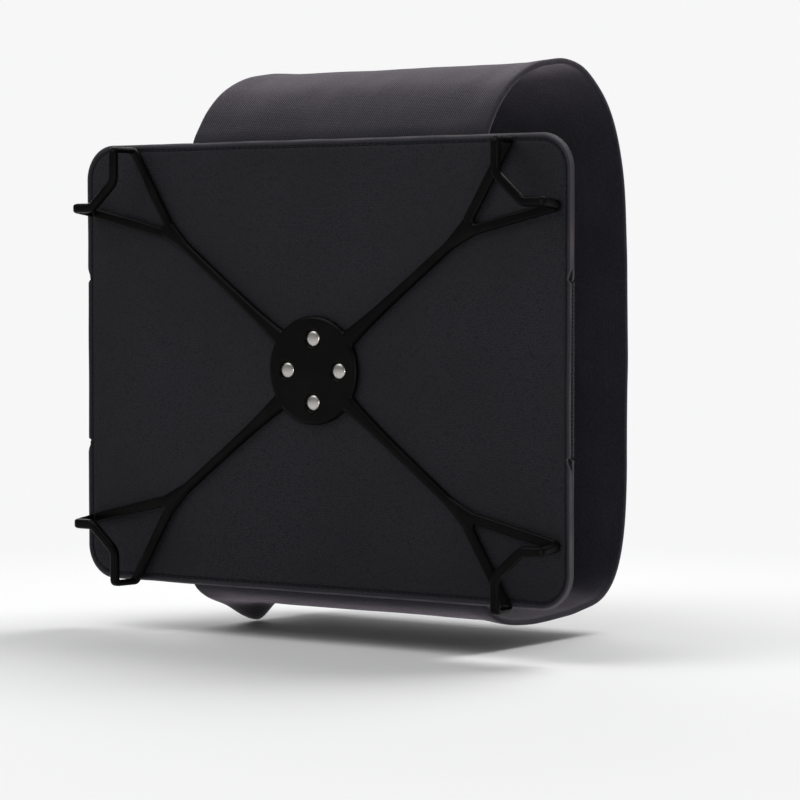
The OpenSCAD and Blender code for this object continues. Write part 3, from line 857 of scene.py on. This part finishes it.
hooks = Finish("hook_pile", Specular_IOR_Level=0.4)
rows_of_hooks = hooks.node("ShaderNodeTexVoronoi", {"feature": "F1"}, {
    "Vector": hooks.place(), "Scale": 1100.0, "Randomness": 0.25,
}, "Distance").step(0.5, 0.1)
hooks.feed(
    Base_Color=hooks.mix(rows_of_hooks, (0.006, 0.006, 0.006, 1), (0.03, 0.03, 0.031, 1)),
    Roughness=0.45 + rows_of_hooks * 0.1,
)
hooks.bump(rows_of_hooks, 0.0003)

pile = Finish("loop_pile", Specular_IOR_Level=0.2, Sheen_Weight=0.4)
fuzz = pile.noise(2400.0, 5.0, roughness=0.7)
pile.feed(
    Base_Color=pile.mix(fuzz, (0.01, 0.01, 0.011, 1), (0.05, 0.049, 0.053, 1)),
    Roughness=0.9 + fuzz * 0.08,
)
pile.bump(fuzz, 0.0004)

TAPE_L, TAPE_W, TAPE_SEAM_IN = 42.0, 140.0, 3.0
lap_middle = outer_ply((LAP_TOP + LAP_FOOT) / 2 - 1)
lap_turn = Matrix.Translation((0, lap_middle.x, lap_middle.y)) @ Matrix.Rotation(LAP_TILT, 4, "X")
for name, node, off, finish, slot in (
    ("hook_strip", "hook_tape", BAND_T / 2 + TAPE_GAP + TAPE_T / 2, hooks, "hook_pile"),
    ("loop_strip", "loop_tape", BAND_T / 2 + 2 * TAPE_GAP + 1.5 * TAPE_T, pile, "loop_pile"),
):
    bm = bmesh.new()
    bmesh.ops.create_cube(bm, size=1.0)
    bmesh.ops.scale(bm, vec=Vector((TAPE_W, TAPE_T, TAPE_L)), verts=bm.verts)
    bmesh.ops.bevel(
        bm, geom=bm.edges, offset=0.35, segments=3, affect="EDGES", profile=0.5, material=-1,
    )
    bmesh.ops.transform(bm, matrix=lap_turn @ Matrix.Translation((0, off, 0)), verts=bm.verts)
    strip = finished(bm, name, finish, slot)
    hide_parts(node)

# Tape stitches
#
# Each tape is sewn to its end of the band with a line of black stitches close to its edge.
# They show on the band's outer face behind the panel and on the inner face of the loop.

bm = bmesh.new()
half_w, half_l = TAPE_W / 2 - TAPE_SEAM_IN, TAPE_L / 2 - TAPE_SEAM_IN
for off, up in ((-BAND_T / 2, -1), (BAND_T / 2 + LAP_STEP, 1)):
    for start, way, length in (
        ((-half_w, half_l), (1, 0), 2 * half_w), ((half_w, half_l), (0, -1), 2 * half_l),
        ((half_w, -half_l), (-1, 0), 2 * half_w), ((-half_w, -half_l), (0, 1), 2 * half_l),
    ):
        count = round(length / 3.2)
        for k in range(count):
            s = (k + 0.5) * length / count
            flat = Vector((start[0] + way[0] * s, off + up * 0.04, start[1] + way[1] * s))
            add_stitch(
                bm, lap_turn @ flat, lap_turn.to_3x3() @ Vector((way[0], 0, way[1])),
                lap_turn.to_3x3() @ Vector((0, up, 0)), length / count * 0.9, 0.5, 0.4,
            )
finished(bm, "tape_stitches", thread, "thread")
bpy.data.meshes.remove(bead)

# Room and camera
#
# A pale floor just under the band, a plain pale surround and soft studio lamps. The camera
# looks at the mount from its right hand side, a little above its middle.

PALE = (0.93, 0.93, 0.935, 1)
MIDDLE = Vector((0, 0.03, 0))
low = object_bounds()[0][2]
bm = bmesh.new()
bmesh.ops.create_grid(bm, x_segments=1, y_segments=1, size=12.0)
bmesh.ops.translate(bm, vec=Vector((0, 0, low - 0.0006)), verts=bm.verts)
mesh = bpy.data.meshes.new("floor")
bm.to_mesh(mesh)
bm.free()
floor = bpy.data.objects.new("floor", mesh)
bpy.context.scene.collection.objects.link(floor)
paper = Finish("floor_paper", Specular_IOR_Level=0.1, Roughness=0.9)
paper.shader.inputs["Base Color"].default_value = (0.8, 0.8, 0.8, 1)
lit = paper.node("ShaderNodeEmission", {}, {"Color": PALE, "Strength": 1.0})
sight = paper.node("ShaderNodeLightPath", {}, {}, "Is Camera Ray")
mirrored = paper.node("ShaderNodeLightPath", {}, {}, "Is Glossy Ray")
through = paper.node("ShaderNodeLightPath", {}, {}, "Is Transmission Ray")
out = paper.node("ShaderNodeVectorMath", {"operation": "LENGTH"}, {0: paper.place()}, "Value")
seen = (sight + mirrored + through).math("MINIMUM", 1.0) * out.step(0.15, 0.55)
lay = Wire(paper, paper.shader.outputs[0])
surface = paper.node("ShaderNodeMixShader", {}, {0: seen, 1: lay, 2: lit})
paper.tree.links.new(surface.socket, paper.tree.nodes["Material Output"].inputs["Surface"])
mesh.materials.append(paper.material)

world = bpy.data.worlds.new("surround")
bpy.context.scene.world = world
world.use_nodes = True
sky = world.node_tree
sky_path = sky.nodes.new("ShaderNodeLightPath")
sky_seen = sky.nodes.new("ShaderNodeMath")
sky_seen.operation = "MAXIMUM"
sky_mix = sky.nodes.new("ShaderNodeMixShader")
glow, shown = sky.nodes["Background"], sky.nodes.new("ShaderNodeBackground")
glow.inputs["Color"].default_value = (0.96, 0.97, 1.0, 1)
glow.inputs["Strength"].default_value = 0.17
shown.inputs["Color"].default_value = PALE
sky.links.new(sky_path.outputs["Is Camera Ray"], sky_seen.inputs[0])
sky.links.new(sky_path.outputs["Is Transmission Ray"], sky_seen.inputs[1])
sky.links.new(sky_seen.outputs[0], sky_mix.inputs[0])
sky.links.new(glow.outputs[0], sky_mix.inputs[1])
sky.links.new(shown.outputs[0], sky_mix.inputs[2])
sky.links.new(sky_mix.outputs[0], sky.nodes["World Output"].inputs["Surface"])

for name, place, size, power in (
    ("key", (-0.95, -1.35, 1.3), 1.0, 7.0),
    ("over", (-0.4, -0.6, 1.5), 1.2, 12.0),
    ("fill", (1.6, -1.3, 0.4), 1.2, 3.0),
    ("top", (0.3, 0.95, 1.5), 1.1, 26.0),
    ("low", (0.95, -1.25, -0.02), 0.2, 3.5),
    ("behind", (-1.1, 1.2, 0.45), 1.0, 9.0),
):
    lamp = bpy.data.lights.new(name, "AREA")
    lamp.size, lamp.energy = size, power
    holder = bpy.data.objects.new(name, lamp)
    holder.location = place
    holder.rotation_euler = (MIDDLE - Vector(place)).to_track_quat("-Z", "Y").to_euler()
    bpy.context.scene.collection.objects.link(holder)

eye = bpy.data.cameras.new("camera")
eye.lens = 138.7
camera = bpy.data.objects.new("camera", eye)
camera.location = (0.781, -1.031, 0.041)
camera.rotation_euler = (radians(90 - 2.36), 0, radians(35.5))
bpy.context.scene.collection.objects.link(camera)
bpy.context.scene.camera = camera
bpy.context.scene.view_settings.view_transform = "Standard"
